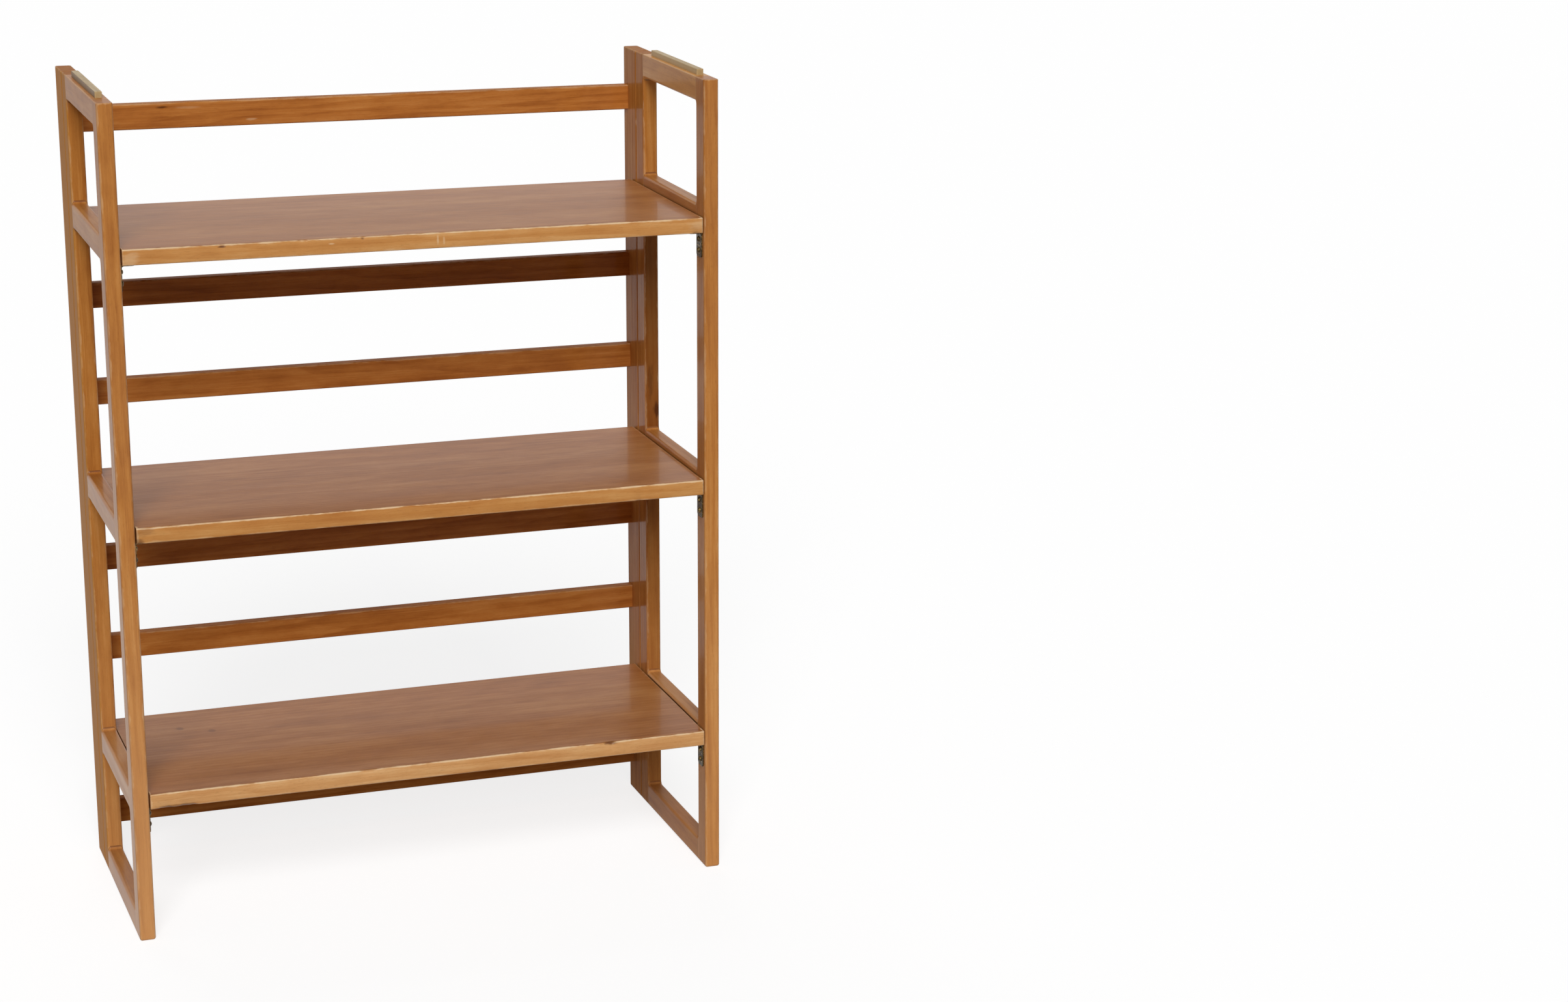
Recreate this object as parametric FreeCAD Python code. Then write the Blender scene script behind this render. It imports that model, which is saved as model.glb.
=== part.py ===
"""Folding bookcase: two slender side frames, two back stiles joined by slats, three shelves that tip up.

Millimetres. X runs left to right, the front faces -Y, Z points up.
The origin is the centre of the footprint, on the floor.
"""
import FreeCAD, Part
import math
import os

from FreeCAD import Vector

# ---------------------------------------------------------------- the case
case_width = 698.0
case_depth = 312.0
case_height = 960.0
frame_thickness = 18.0          # side frames and back stiles, across X
side_stile_width = 30.0
back_stile_width = 50.0
rail_height = 28.0
frame_arris = 3.0               # rounding of the free edges of the frames
frame_top_arris = 1.0           # the same at their tops, where the next case stands
window_corner_radius = 4.0      # hollow corners of the openings in the side frames

# ---------------------------------------------------------------- shelves
levels = ("bottom", "middle", "top")
lowest_shelf_top = 176.0
top_shelf_drop = 159.0          # case top to the top face of the top shelf
shelf_thickness = 18.0
shelf_end_gap = 1.5             # between a shelf end and the inner face of a frame
shelf_arris = 2.2
lipping_width = 12.0
rail_rises = (3.0, 6.5, 12.0)   # side rail tops above the shelves beside them, lowest first

# ---------------------------------------------------------------- back slats
slat_thickness = 15.0
slat_height = 30.0
slat_setback = 32.0             # behind the front faces of the back stiles
slat_arris = 2.0
slat_drops = (108.0, 99.5, 93.0)    # shelf top down to the top of the slat below it, lowest first
slat_rises = (101.0, 103.5)         # shelf top up to the top of the slat above it, lowest first
top_slat_drop = 45.0            # case top to the top of the highest slat

# ---------------------------------------------------------------- joints in the wood
rail_tenon_length = 15.0
rail_tenon_thickness = 6.0
rail_tenon_shoulder = 5.0       # above and below the tenon
slat_tenon_length = 12.0
slat_tenon_thickness = 7.0
slat_tenon_shoulder = 4.0
mortise_end_gap = 0.5

# ---------------------------------------------------------------- stacking cleats
cleat_width = 8.0
cleat_height = 7.0              # above the top rail
cleat_bed = 4.0                 # let into the top rail
cleat_arris = 0.8
cleat_front_inset = 40.0
cleat_rear_inset = 48.0
stacking_clearance = 0.8

# ---------------------------------------------------------------- shelf pivots
pivot_setback = 13.0            # behind the front faces of the back stiles
pivot_to_shelf_rear = 7.0
pivot_pin_radius = 2.5
pivot_running_gap = 0.05
pivot_pin_in_stile = 12.0
pivot_pin_in_shelf = 20.0
pivot_hole_end_gap = 1.0

# ---------------------------------------------------------------- shelf brackets
bracket_width = 18.0
bracket_thickness = 1.4
bracket_reach = 15.5            # under the shelf, from the stile
bracket_drop = 30.0             # down the stile, from the shelf
bracket_setback = 6.5           # behind the front face
bracket_tip_radius = 4.0
bracket_bend_radius = 2.5
bracket_screw_drops = (9.0, 22.0)

# ---------------------------------------------------------------- side frame hinges
hinge_height = 40.0
hinge_below_shelf = 8.0         # hinge top below the underside of its shelf
hinge_axis_inset = 1.5          # from the inner face of the frame
hinge_leaf_reach = 13.0         # from the axis
hinge_leaf_thickness = 1.2
hinge_knuckle_radius = 2.25
hinge_knuckle_gap = 0.2
hinge_knuckle_count = 3
hinge_pin_radius = 1.1
hinge_pin_gap = 0.05
hinge_barrel_clearance = 0.3    # between the barrel and the wood

# ---------------------------------------------------------------- screws
dome_head_radius = 3.5
dome_head_height = 2.6
dome_shank_radius = 1.6
dome_shank_length = 13.0
flat_head_radius = 2.6
flat_head_depth = 1.1
flat_shank_radius = 1.2
flat_shank_length = 12.0
flat_screw_end_inset = 9.0      # from each end of a hinge
driver_slot_width = 0.8
driver_slot_depth = 0.9
screw_gap = 0.05

coincident = 1e-6               # distance below which two coordinates are the same

# ---------------------------------------------------------------- planes worked out from the sizes
front_y = -case_depth / 2
back_y = case_depth / 2
fold_y = back_y - back_stile_width              # where side frames and back stiles meet
outer_x = case_width / 2
inner_x = outer_x - frame_thickness
mid_x = outer_x - frame_thickness / 2
front_window_y = front_y + side_stile_width
rear_window_y = fold_y - side_stile_width
slat_front_y = fold_y + slat_setback
pivot_y = fold_y + pivot_setback
hinge_axis_x = inner_x + hinge_axis_inset

shelf_pitch = (case_height - top_shelf_drop - lowest_shelf_top) / (len(levels) - 1)
shelf_tops = [lowest_shelf_top + number * shelf_pitch for number in range(len(levels))]

rail_tops = {"floor_rail": rail_height, "top_rail": case_height}
for level, shelf_top, rise in zip(levels, shelf_tops, rail_rises):
    rail_tops[level + "_shelf_rail"] = shelf_top + rise

slat_tops = {"back_slat_6_top": case_height - top_slat_drop}
for number, (level, shelf_top, drop) in enumerate(zip(levels, shelf_tops, slat_drops)):
    slat_tops["back_slat_%d_below_%s_shelf" % (2 * number + 1, level)] = shelf_top - drop
for number, (level, shelf_top, rise) in enumerate(zip(levels, shelf_tops, slat_rises)):
    slat_tops["back_slat_%d_above_%s_shelf" % (2 * number + 2, level)] = shelf_top + rise


# ---------------------------------------------------------------- small helpers
def block(x0, x1, y0, y1, z0, z1):
    """A box from its lowest to its highest corner."""
    return Part.makeBox(x1 - x0, y1 - y0, z1 - z0, Vector(x0, y0, z0))


def rod(radius, length, start, direction):
    """A round bar from start along direction."""
    return Part.makeCylinder(radius, length, start, direction)


def edges_where(shape, test):
    """The edges of a shape whose middle point and direction pass a test."""
    found = []
    for edge in shape.Edges:
        start = edge.Vertexes[0].Point
        end = edge.Vertexes[-1].Point
        if test((start + end) * 0.5, end - start):
            found.append(edge)
    return found


def along_x(way):
    return abs(way.y) < coincident and abs(way.z) < coincident


def mirrored(shape):
    """The same piece for the left side."""
    return shape.mirror(Vector(0, 0, 0), Vector(1, 0, 0))


def both_sides(node, right_shape, parts):
    """A piece of the right side and its mirror image on the left."""
    parts["right_" + node] = right_shape
    parts["left_" + node] = mirrored(right_shape)


# ---------------------------------------------------------------- hardware, right side
def flat_screw(head_centre, into):
    """Countersunk screw, its flat head's face centred on head_centre."""
    head = Part.makeCone(flat_head_radius, flat_shank_radius, flat_head_depth, head_centre, into)
    shank = rod(flat_shank_radius, flat_shank_length, head_centre, into)
    slot = block(-flat_head_radius, flat_head_radius, -driver_slot_width / 2, driver_slot_width / 2,
                 -driver_slot_depth, 0)
    slot.Placement = FreeCAD.Placement(head_centre, FreeCAD.Rotation(Vector(0, 0, -1), into))
    return head.fuse(shank).cut(slot).removeSplitter()


def flat_screw_hole(head_centre, into):
    """The countersink and pilot hole of a flat screw."""
    sink = Part.makeCone(flat_head_radius + screw_gap, flat_shank_radius + screw_gap, flat_head_depth,
                         head_centre, into)
    pilot = rod(flat_shank_radius + screw_gap, flat_shank_length + mortise_end_gap, head_centre, into)
    return sink.fuse(pilot)


def dome_screw(seat, into):
    """Dome-head screw with a cross recess; seat is the centre of the face its head rests on."""
    outward = into * -1
    sideways = Vector(0, 0, 1)

    def at(radius, height):
        return seat + sideways * radius + outward * height

    ball_radius = (dome_head_radius ** 2 + dome_head_height ** 2) / (2 * dome_head_height)
    half_angle = math.asin(dome_head_radius / ball_radius) / 2
    shoulder_height = dome_head_height - ball_radius * (1 - math.cos(half_angle))
    crown = at(0, dome_head_height)
    shoulder = at(ball_radius * math.sin(half_angle), shoulder_height)
    rim = at(dome_head_radius, 0)
    neck = at(dome_shank_radius, 0)
    foot = at(dome_shank_radius, -dome_shank_length)
    tip = at(0, -dome_shank_length)
    outline = [Part.Arc(crown, shoulder, rim).toShape(), Part.makePolygon([rim, neck, foot, tip, crown])]
    screw = Part.Face(Part.Wire(outline)).revolve(seat, into, 360)

    recess_bottom = dome_head_height - driver_slot_depth
    for across in (Vector(0, 1, 0), Vector(0, 0, 1)):
        arm = Part.makeBox(driver_slot_width, dome_head_radius, dome_head_height,
                           Vector(-driver_slot_width / 2, -dome_head_radius / 2, recess_bottom))
        arm.Placement = FreeCAD.Placement(
            seat, FreeCAD.Rotation(across, outward.cross(across), outward, "XYZ")).multiply(arm.Placement)
        screw = screw.cut(arm)
    return screw


def bracket_screw_seats(shelf_top):
    """Where the two bracket screws of the right side seat, on the bracket's face."""
    x = inner_x - bracket_thickness
    y = front_y + bracket_setback + bracket_width / 2
    underside = shelf_top - shelf_thickness
    return [Vector(x, y, underside - drop) for drop in bracket_screw_drops]


def hinge_bottoms():
    """Lower ends of the upper and lower hinge of a side."""
    drop = shelf_thickness + hinge_below_shelf + hinge_height
    return [shelf_tops[0] - drop, shelf_tops[-1] - drop]


def hinge_screw_seats(bottom):
    """Head centres of a leaf's two screws, the same for both leaves."""
    x = hinge_axis_x + (hinge_leaf_reach + hinge_knuckle_radius) / 2
    heights = (bottom + flat_screw_end_inset, bottom + hinge_height - flat_screw_end_inset)
    return [Vector(x, fold_y, z) for z in heights]


def knuckle_ranges(bottom):
    """Heights of the knuckles, lowest first, with a small gap between neighbours."""
    knuckle = (hinge_height - hinge_knuckle_gap * (hinge_knuckle_count - 1)) / hinge_knuckle_count
    starts = [bottom + number * (knuckle + hinge_knuckle_gap) for number in range(hinge_knuckle_count)]
    return [(start, start + knuckle) for start in starts]


def hinge_leaf(bottom, leaf_side):
    """Leaf with its knuckles; leaf_side is -1 on the side frame, +1 on the back stile.

    The lowest knuckle and every second one above it are the side frame's.
    """
    y0, y1 = sorted((fold_y, fold_y + leaf_side * hinge_leaf_thickness))
    leaf = block(hinge_axis_x, hinge_axis_x + hinge_leaf_reach, y0, y1, bottom, bottom + hinge_height)
    for number, (z0, z1) in enumerate(knuckle_ranges(bottom)):
        axis_point = Vector(hinge_axis_x, fold_y, z0)
        frames_own = number % 2 == 0
        if frames_own == (leaf_side < 0):
            leaf = leaf.fuse(rod(hinge_knuckle_radius, z1 - z0, axis_point, Vector(0, 0, 1)))
        else:
            relief = rod(hinge_knuckle_radius + hinge_knuckle_gap, z1 - z0 + 2 * hinge_knuckle_gap,
                         axis_point - Vector(0, 0, hinge_knuckle_gap), Vector(0, 0, 1))
            leaf = leaf.cut(relief)
    bore = rod(hinge_pin_radius + hinge_pin_gap, hinge_height, Vector(hinge_axis_x, fold_y, bottom),
               Vector(0, 0, 1))
    leaf = leaf.cut(bore)
    for seat in hinge_screw_seats(bottom):
        leaf = leaf.cut(flat_screw_hole(seat, Vector(0, leaf_side, 0)))
    return leaf.removeSplitter()


def hinge_recess(bottom, leaf_side):
    """What a hinge takes out of the wood on one side of the fold: leaf bed, barrel groove, screw holes."""
    y0, y1 = sorted((fold_y, fold_y + leaf_side * hinge_leaf_thickness))
    top = bottom + hinge_height
    bed = block(inner_x, hinge_axis_x + hinge_leaf_reach, y0, y1, bottom, top)
    groove = rod(hinge_knuckle_radius + hinge_barrel_clearance, hinge_height,
                 Vector(hinge_axis_x, fold_y, bottom), Vector(0, 0, 1))
    recess = bed.fuse(groove)
    for seat in hinge_screw_seats(bottom):
        recess = recess.fuse(flat_screw_hole(seat, Vector(0, leaf_side, 0)))
    return recess


def hinge_pin(bottom):
    return rod(hinge_pin_radius, hinge_height, Vector(hinge_axis_x, fold_y, bottom), Vector(0, 0, 1))


def bracket(shelf_top):
    """Angle bracket under a shelf's front corner, on the inner face of the front stile."""
    underside = shelf_top - shelf_thickness
    y0 = front_y + bracket_setback
    y1 = y0 + bracket_width
    arm = block(inner_x - bracket_reach, inner_x, y0, y1, underside - bracket_thickness, underside)
    leg = block(inner_x - bracket_thickness, inner_x, y0, y1, underside - bracket_drop, underside)
    arm = arm.makeFillet(bracket_tip_radius, edges_where(
        arm, lambda middle, way: abs(way.z) > coincident and middle.x < inner_x - bracket_reach / 2))
    leg = leg.makeFillet(bracket_tip_radius, edges_where(
        leg, lambda middle, way: along_x(way) and middle.z < underside - bracket_drop / 2))
    angle = arm.fuse(leg).removeSplitter()
    bend = Vector(inner_x - bracket_thickness, (y0 + y1) / 2, underside - bracket_thickness)
    angle = angle.makeFillet(bracket_bend_radius, edges_where(
        angle, lambda middle, way: middle.distanceToPoint(bend) < coincident))
    for seat in bracket_screw_seats(shelf_top):
        hole = rod(dome_shank_radius + screw_gap, bracket_thickness, seat, Vector(1, 0, 0))
        angle = angle.cut(hole)
    return angle


def pivot_pin(shelf_top):
    """Steel pin in the back stile, on which a shelf's rear corner turns."""
    start = Vector(inner_x - shelf_end_gap - pivot_pin_in_shelf, pivot_y, shelf_top - shelf_thickness / 2)
    length = pivot_pin_in_shelf + shelf_end_gap + pivot_pin_in_stile
    return rod(pivot_pin_radius, length, start, Vector(1, 0, 0))


# ---------------------------------------------------------------- wood, right side
def window_heights():
    """Lower and upper edge of each opening in a side frame."""
    tops = sorted(rail_tops.values())
    return [(low, high - rail_height) for low, high in zip(tops, tops[1:])]


def rounded_over(shape, is_free_edge):
    """A stick or frame with its free edges rounded over, less at the top."""
    top = case_height - coincident
    shape = shape.makeFillet(frame_arris, edges_where(
        shape, lambda middle, way: middle.z < top and is_free_edge(middle, way)))
    return shape.makeFillet(frame_top_arris, edges_where(shape, lambda middle, way: middle.z > top))


def rounded_side_frame():
    """The whole side frame as one block with its openings cut and its edges rounded over."""
    frame = block(inner_x, outer_x, front_y, fold_y, 0, case_height)
    for low, high in window_heights():
        window = block(inner_x, outer_x, front_window_y, rear_window_y, low, high)
        frame = frame.cut(window.makeFillet(window_corner_radius, edges_where(
            window, lambda middle, way: along_x(way))))

    def is_free_edge(middle, way):
        on_face = not along_x(way)
        on_block_corner = min(middle.y - front_y, fold_y - middle.y) < coincident
        return on_face or on_block_corner

    return rounded_over(frame, is_free_edge)


def rail_tenon(rail_top, end_y, out, extra):
    """Stub tenon of a side rail; extra lengthens it for the mortise."""
    y0, y1 = sorted((end_y, end_y + out * (rail_tenon_length + extra)))
    return block(mid_x - rail_tenon_thickness / 2, mid_x + rail_tenon_thickness / 2, y0, y1,
                 rail_top - rail_height + rail_tenon_shoulder, rail_top - rail_tenon_shoulder)


def side_rail(frame, rail_top):
    """One rail of a side frame with its hollow shoulders and a stub tenon at each end."""
    rail = frame.common(block(inner_x, outer_x, front_window_y, rear_window_y,
                              rail_top - rail_height - window_corner_radius, rail_top + window_corner_radius))
    rail = rail.fuse(rail_tenon(rail_top, front_window_y, -1, 0))
    return rail.fuse(rail_tenon(rail_top, rear_window_y, 1, 0)).removeSplitter()


def cleat(extra):
    """Strip on the top rail that locates the case stacked above; extra swells it for the groove."""
    return block(mid_x - cleat_width / 2 - extra, mid_x + cleat_width / 2 + extra,
                 front_y + cleat_front_inset - extra, fold_y - cleat_rear_inset + extra,
                 case_height - cleat_bed, case_height + cleat_height + extra)


def rounded_cleat():
    strip = cleat(0)
    return strip.makeFillet(cleat_arris, edges_where(
        strip, lambda middle, way: middle.z > case_height - cleat_bed / 2))


def stacking_groove():
    """Room in the floor rail for the cleat of the case below."""
    groove = cleat(stacking_clearance)
    groove.translate(Vector(0, 0, -case_height))
    return groove


def front_stile(frame):
    stile = frame.common(block(inner_x, outer_x, front_y, front_window_y, 0, case_height))
    for top in rail_tops.values():
        stile = stile.cut(rail_tenon(top, front_window_y, -1, mortise_end_gap))
    for shelf_top in shelf_tops:
        for seat in bracket_screw_seats(shelf_top):
            stile = stile.cut(rod(dome_shank_radius + screw_gap, dome_shank_length + mortise_end_gap, seat,
                                  Vector(1, 0, 0)))
    return stile


def rear_stile(frame):
    stile = frame.common(block(inner_x, outer_x, rear_window_y, fold_y, 0, case_height))
    for top in rail_tops.values():
        stile = stile.cut(rail_tenon(top, rear_window_y, 1, mortise_end_gap))
    for bottom in hinge_bottoms():
        stile = stile.cut(hinge_recess(bottom, -1))
    return stile


def slat_tenon(slat_top, extra):
    middle_y = slat_front_y + slat_thickness / 2
    return block(inner_x, inner_x + slat_tenon_length + extra,
                 middle_y - slat_tenon_thickness / 2, middle_y + slat_tenon_thickness / 2,
                 slat_top - slat_height + slat_tenon_shoulder, slat_top - slat_tenon_shoulder)


def back_stile():
    stile = block(inner_x, outer_x, fold_y, back_y, 0, case_height)
    stile = rounded_over(stile, lambda middle, way: True)
    for top in slat_tops.values():
        stile = stile.cut(slat_tenon(top, mortise_end_gap))
    for bottom in hinge_bottoms():
        stile = stile.cut(hinge_recess(bottom, 1))
    for shelf_top in shelf_tops:
        stile = stile.cut(pivot_pin(shelf_top))
    return stile


# ---------------------------------------------------------------- wood, full width
def back_slat(slat_top):
    """Slat between the back stiles, tenoned into both."""
    slat = block(-inner_x, inner_x, slat_front_y, slat_front_y + slat_thickness,
                 slat_top - slat_height, slat_top)
    slat = slat.makeFillet(slat_arris, edges_where(slat, lambda middle, way: along_x(way)))
    tenon = slat_tenon(slat_top, 0)
    return slat.fuse(tenon).fuse(mirrored(tenon)).removeSplitter()


def shelf_board(y0, y1, top):
    end_x = inner_x - shelf_end_gap
    return block(-end_x, end_x, y0, y1, top - shelf_thickness, top)


def shelf_lipping(top):
    """Front edge strip of a shelf, its outer edges rounded over."""
    strip = shelf_board(front_y, front_y + lipping_width, top)
    return strip.makeFillet(shelf_arris, edges_where(
        strip, lambda middle, way: along_x(way) and middle.y < front_y + lipping_width / 2))


def shelf_panel(top):
    """Shelf panel behind the lipping, with a pivot hole in each end."""
    rear = pivot_y + pivot_to_shelf_rear
    panel = shelf_board(front_y + lipping_width, rear, top)
    panel = panel.makeFillet(shelf_arris, edges_where(
        panel, lambda middle, way: along_x(way) and middle.y > rear - pivot_to_shelf_rear))
    mouth = Vector(inner_x - shelf_end_gap, pivot_y, top - shelf_thickness / 2)
    hole = rod(pivot_pin_radius + pivot_running_gap, pivot_pin_in_shelf + pivot_hole_end_gap, mouth,
               Vector(-1, 0, 0))
    return panel.cut(hole).cut(mirrored(hole))


# ---------------------------------------------------------------- the whole bookcase
def build():
    parts = {}
    frame = rounded_side_frame()
    both_sides("front_stile", front_stile(frame), parts)
    both_sides("rear_stile", rear_stile(frame), parts)
    both_sides("back_stile", back_stile(), parts)
    for name, top in rail_tops.items():
        rail = side_rail(frame, top)
        if name == "top_rail":
            rail = rail.cut(cleat(0))
        if name == "floor_rail":
            rail = rail.cut(stacking_groove())
        both_sides(name, rail, parts)
    both_sides("stacking_cleat", rounded_cleat(), parts)

    for name, top in slat_tops.items():
        parts[name] = back_slat(top)

    bracket_screws = []
    pivot_pins = []
    for level, top in zip(levels, shelf_tops):
        parts[level + "_shelf_panel"] = shelf_panel(top)
        parts[level + "_shelf_lipping"] = shelf_lipping(top)
        both_sides(level + "_shelf_bracket", bracket(top), parts)
        screws = [dome_screw(seat, Vector(1, 0, 0)) for seat in bracket_screw_seats(top)]
        bracket_screws += screws + [mirrored(screw) for screw in screws]
        pivot_pins += [pivot_pin(top), mirrored(pivot_pin(top))]

    hinge_screws = []
    hinge_pins = []
    for name, bottom in zip(("lower", "upper"), hinge_bottoms()):
        both_sides(name + "_hinge_frame_leaf", hinge_leaf(bottom, -1), parts)
        both_sides(name + "_hinge_back_leaf", hinge_leaf(bottom, 1), parts)
        hinge_pins += [hinge_pin(bottom), mirrored(hinge_pin(bottom))]
        for leaf_side in (-1, 1):
            for seat in hinge_screw_seats(bottom):
                screw = flat_screw(seat, Vector(0, leaf_side, 0))
                hinge_screws += [screw, mirrored(screw)]

    parts["bracket_screws"] = Part.makeCompound(bracket_screws)
    parts["shelf_pivot_pins"] = Part.makeCompound(pivot_pins)
    parts["hinge_pins"] = Part.makeCompound(hinge_pins)
    parts["hinge_screws"] = Part.makeCompound(hinge_screws)
    return parts


os.makedirs("parts", exist_ok=True)
for node, shape in build().items():
    shape.exportStep("parts/" + node + ".step")
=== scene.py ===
"""Folding bookcase: stained wood, lacquer, wear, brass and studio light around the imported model.

Metres. X runs left to right, the front faces -Y, Z points up. The origin is on the floor, under the centre.
"""
import math
import random

import bmesh
import bpy
from mathutils import Matrix, Vector, noise


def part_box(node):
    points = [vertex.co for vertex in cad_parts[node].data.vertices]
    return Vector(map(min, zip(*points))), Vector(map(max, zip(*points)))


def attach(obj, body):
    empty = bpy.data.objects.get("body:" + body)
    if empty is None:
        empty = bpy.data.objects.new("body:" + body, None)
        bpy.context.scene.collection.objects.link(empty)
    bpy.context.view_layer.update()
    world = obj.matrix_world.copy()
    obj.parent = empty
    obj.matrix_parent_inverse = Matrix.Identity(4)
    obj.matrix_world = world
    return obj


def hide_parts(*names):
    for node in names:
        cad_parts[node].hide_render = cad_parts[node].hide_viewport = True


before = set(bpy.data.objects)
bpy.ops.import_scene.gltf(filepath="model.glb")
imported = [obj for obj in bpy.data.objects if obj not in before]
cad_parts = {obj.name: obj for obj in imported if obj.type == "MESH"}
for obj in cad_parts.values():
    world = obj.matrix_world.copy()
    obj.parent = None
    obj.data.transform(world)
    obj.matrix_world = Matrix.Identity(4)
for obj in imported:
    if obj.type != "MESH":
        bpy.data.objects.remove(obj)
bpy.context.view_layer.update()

MM = 0.001
draw = random.Random(27)

# ---------------------------------------------------------------- colours
# Each is the sRGB colour, 0 to 255, that the finish shows in plain light.
FRAME_STAIN = {"dark": (161, 97, 41), "middle": (185, 120, 55), "light": (202, 142, 76)}
# A lighter stain for the right top rail: painted light, where more light falls on it from the upper left.
LIT_RAIL_STAIN = {"dark": (190, 129, 66), "middle": (213, 153, 85), "light": (228, 176, 109)}
SLAT_STAIN = {"dark": (148, 83, 32), "middle": (177, 109, 48), "light": (195, 130, 66)}
# A darker stain for the slat under the top shelf: painted shade, where the shelf keeps the light off it.
SHADED_SLAT_STAIN = {"dark": (132, 71, 24), "middle": (160, 94, 36), "light": (180, 115, 52)}
PANEL_STAIN = {"dark": (146, 88, 40), "middle": (168, 108, 55), "light": (186, 129, 74)}
LIPPING_STAINS = {
    "top": {"dark": (182, 119, 58), "middle": (199, 139, 76), "light": (213, 160, 100)},
    "middle": {"dark": (176, 112, 52), "middle": (190, 129, 66), "light": (204, 150, 88)},
    "bottom": {"dark": (190, 131, 75), "middle": (207, 153, 97), "light": (221, 175, 122)},
}
BARE_WOOD = {"dark": (164, 136, 92), "middle": (192, 166, 122), "light": (212, 190, 148)}
REAR_SIDE_STAINS = {"left": (200, 132, 50), "right": None}     # the left sides of the rear and back stiles
CLEAT_SIDE_STAINS = {"left": (112, 78, 42), "right": (204, 176, 126)}     # the left sides of the cleats
PORE = (92, 50, 20)
KNOT = (78, 38, 14)
# Painted shade in the gap beside the end of a shelf.
GAP_SHADE = (44, 22, 8)
DARK_MARK = (104, 60, 30)          # dark marks at nicks and dents; in the nick of the top shelf's edge it is painted shade
WORN = (228, 195, 153)          # where the lacquer is rubbed through; along the edges it is also a painted highlight on the arris
FLOOR_LIGHT = (226, 170, 116)         # painted light on the feet, where the floor throws light back up
PAINTED_SHADE = (98, 44, 8)          # painted shade in the right rear corner, below the top shelf

# ---------------------------------------------------------------- figure of the wood
# Noises in a piece: width and length of a feature in mm, across and along the grain, detail and roughness.
GRAIN = {
    "blotches": (45, 300, 2.0, 0.5),
    "mottling": (16, 50, 3.0, 0.6),
    "bands": (5.5, 340, 3.0, 0.6),
    "streaks": (1.3, 70, 3.0, 0.65),
    "fibres": (0.5, 16, 2.0, 0.5),
    "pores": (0.45, 5.5, 1.0, 0.5),
    "rings": (30, 160, 2.0, 0.5),
    "rubbing": (8, 30, 3.0, 0.7),
}
# How dark or light the wood is: the middle tone, and how much each part of the figure changes it. The bands
# and the late wood also follow the strength of the piece's own figure.
TONE = {"middle": 0.53, "blotches": 0.75, "mottling": 0.72, "bands": 2.0, "streaks": 0.42, "fibres": 0.3,
        "late_wood": 0.42}
STAIN_TONES = {"dark": 0.12, "middle": 0.5, "light": 0.88}
RELIEF = {"streaks": 0.45, "fibres": 0.35, "pores": 0.5}
RELIEF_STRENGTH = 0.22
RELIEF_DEPTH = 0.15 * MM
CUT_FROM = (-3.0, 3.0)          # range of the places in the noise that the pieces are cut from
PITH_BESIDE = (30 * MM, 90 * MM)
PITH_BEHIND = (-60 * MM, 60 * MM)
PITH_DRIFT = (0.015, 0.04)      # sideways, for each unit of length
RING_WIDTH = (6 * MM, 10 * MM)
RING_WAVER = 14 * MM
FAR = 1.0                       # further than any edge

# ---------------------------------------------------------------- how strongly things show
PORE_SHARE = 0.22
END_GRAIN_SHARE = 0.5           # end grain takes the stain darker
SEAM_SHARE = 0.55
SIDE_STAIN_SHARE = 0.82
FLOOR_LIGHT_SHARE = {"left": 0.37, "right": 0.24}       # of the painted floor light, on the feet of the front stiles
FLOOR_LIGHT_REAR = 0.6             # of that on the rear and back stiles
FLOOR_LIGHT_RAIL = 0.5             # and on the rails
PAINTED_SHADE_SHARE = {"left": 0.0, "right": 0.62}
SHADE_EASED_SHARE = 0.55              # of the painted shade is missing near the floor
SHADE_SPARED_INSIDE = 0.85        # of the painted shade is missing on the inner side
# How strongly the painted shade in the gap beside each shelf's end shows.
GAP_SHADE_STRENGTH = {"bottom_shelf": 0.85, "middle_shelf": 0.45, "top_shelf": 0.40}
GAP_SHADE_BELOW = 2 * MM            # under the top of the shelf
LYING_SIDE_WEAR = 0.35          # of the wear of a lying piece, on its sides and below
# How unevenly blotches or bands let each of these show.
FLOOR_LIGHT_UNEVEN = 0.3
PAINTED_SHADE_UNEVEN = 0.4
SIDE_STAIN_UNEVEN = 0.5
WEAR_WANDER = 7 * MM            # how far rubbing reaches in or stays off
MARK_RAGGED = 2.4

# ---------------------------------------------------------------- where things change
# Each is where a change starts and where it is complete. Heights above the floor:
FLOOR_LIT_FEET = (500 * MM, 60 * MM)
PAINTED_SHADE_CORNER = (830 * MM, 740 * MM)
SHADE_EASED_CORNER = (480 * MM, 330 * MM)
MOPPED = (300 * MM, 100 * MM)   # mopping has dulled the coat
RUBBED = (560 * MM, 900 * MM)   # hands have dulled it
# How far a surface is turned along an axis, from -1 to 1:
FACING_UP = (0.60, 0.92)
FACING_LEFT = (-0.5, -0.9)
FACING_INWARDS = (0.90, 0.98)
FACING_ALONG_GRAIN = (0.75, 0.95)
RUBBED_FROM_ABOVE = (0.0, 0.5)
# Distances from the middle of a line, from an edge, and, in half sizes, from the middle of a mark:
SEAM_LINE = (0.7 * MM, 0.2 * MM)
GAP_SHADE_LINE = (3.2 * MM, 1.4 * MM)
WORN_EDGE = (2.1 * MM, 0.3 * MM)
MARK_EDGE = (1.25, 0.35)
# Within the noise of the pores, and across a year's ring:
OPEN_PORE = (0.10, 0.24)
LATE_WOOD_STARTS = (0.25, 0.94)
LATE_WOOD_ENDS = (1.0, 0.95)

# ---------------------------------------------------------------- lacquer
# Weight of the glossy top coat near the floor, halfway up, and at the top, where hands rub it.
GLOSS = {
    "left": (0.22, 0.22, 0.10),
    "right": (0.02, 0.11, 0.13),
    "left_rear": (0.03, 0.045, 0.02),
    "right_rear": (0.01, 0.05, 0.05),
    "back": (0.01, 0.07, 0.07),
    "panel": (0.16, 0.16, 0.16),
    "lipping": (0.13, 0.13, 0.13),
    "cleat": (0.03, 0.03, 0.03),
}
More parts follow.
